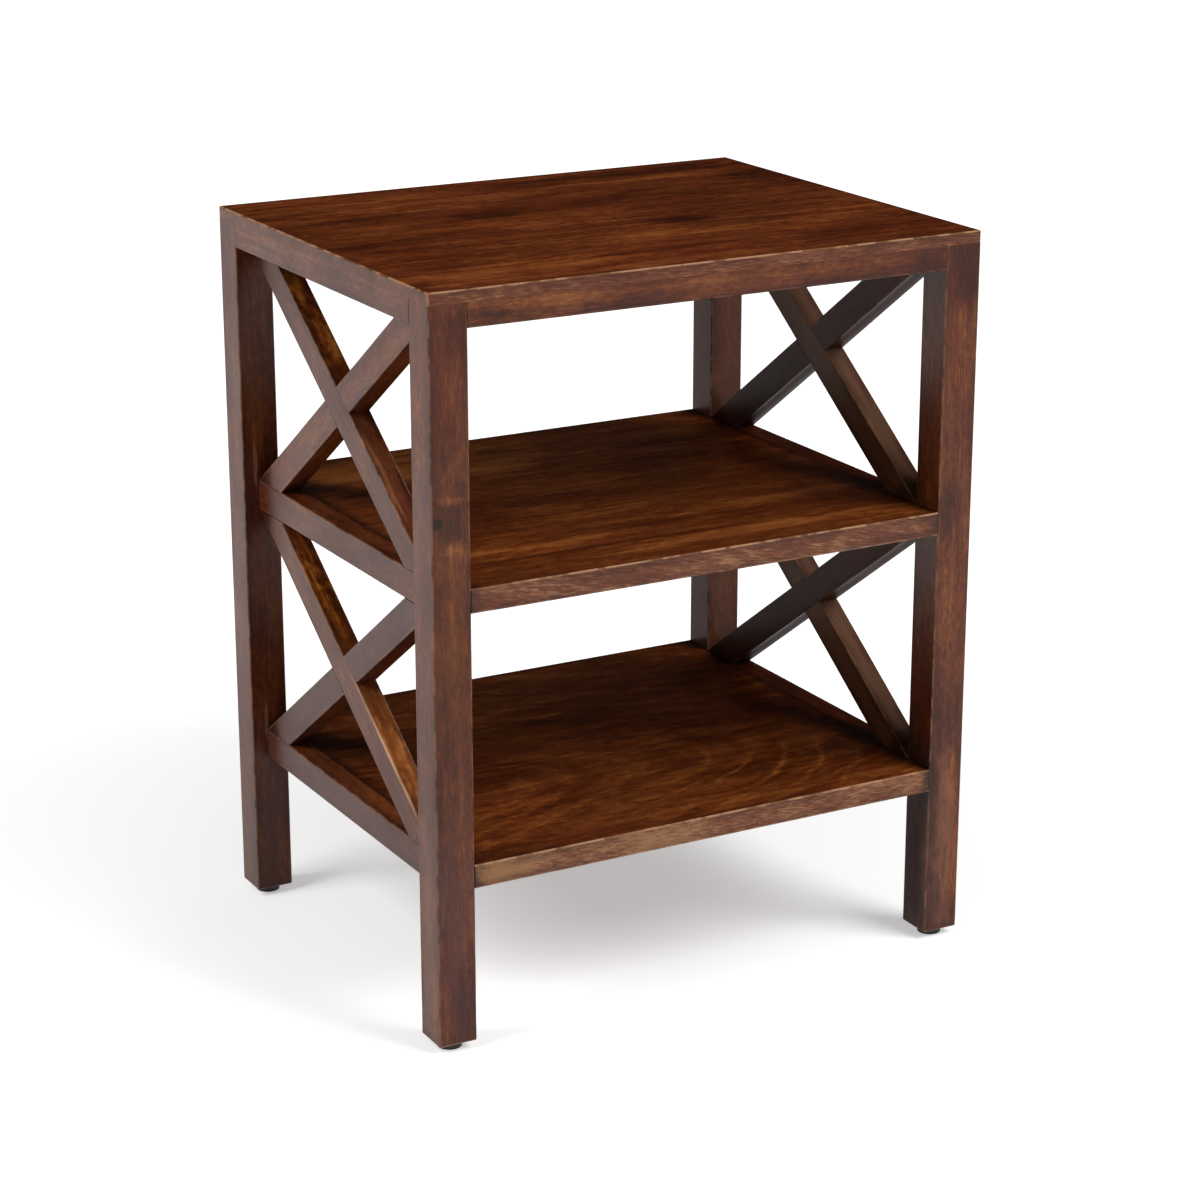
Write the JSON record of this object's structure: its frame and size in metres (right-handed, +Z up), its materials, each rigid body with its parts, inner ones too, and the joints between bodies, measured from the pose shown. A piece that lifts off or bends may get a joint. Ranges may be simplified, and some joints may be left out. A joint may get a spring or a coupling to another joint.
{
  "type": "accent table",
  "caption": "Small rectangular side table in dark stained wood with a middle shelf, a bottom shelf and X braced sides.",
  "frame": {"origin": "centre of the table's footprint, on the floor", "axes": "+Z up, +X along the width to the right as seen from the front, +Y along the depth to the back"},
  "size_m": [0.5, 0.4, 0.62],
  "materials": {
    "frame_wood": "dark red-brown stain under satin lacquer, grain along each bar",
    "panel_wood": "dark honey-brown stain under satin lacquer, streaked grain left to right",
    "tenon_wood": "plain unstained wood",
    "glide": "matte black",
    "screw_steel": "zinc-plated"
  },
  "bodies": {
    "root": {"front_left_leg": "frame_wood", "front_right_leg": "frame_wood", "back_left_leg": "frame_wood", "back_right_leg": "frame_wood", "front_top_rail": "frame_wood", "back_top_rail": "frame_wood", "left_top_rail": "frame_wood", "right_top_rail": "frame_wood", "left_middle_side_rail": "frame_wood", "left_bottom_side_rail": "frame_wood", "right_middle_side_rail": "frame_wood", "right_bottom_side_rail": "frame_wood", "left_upper_brace_rising_front": "frame_wood", "left_upper_brace_rising_back": "frame_wood", "left_lower_brace_rising_front": "frame_wood", "left_lower_brace_rising_back": "frame_wood", "right_upper_brace_rising_front": "frame_wood", "right_upper_brace_rising_back": "frame_wood", "right_lower_brace_rising_front": "frame_wood", "right_lower_brace_rising_back": "frame_wood", "top_board": "panel_wood", "middle_shelf": "panel_wood", "bottom_shelf": "panel_wood", "front_left_glide": "glide", "front_right_glide": "glide", "back_left_glide": "glide", "back_right_glide": "glide", "shelf_loose_tenons": "tenon_wood", "brace_loose_tenons": "tenon_wood", "top_board_screws": "screw_steel", "glide_screws": "screw_steel"}
  },
  "joints": []
}
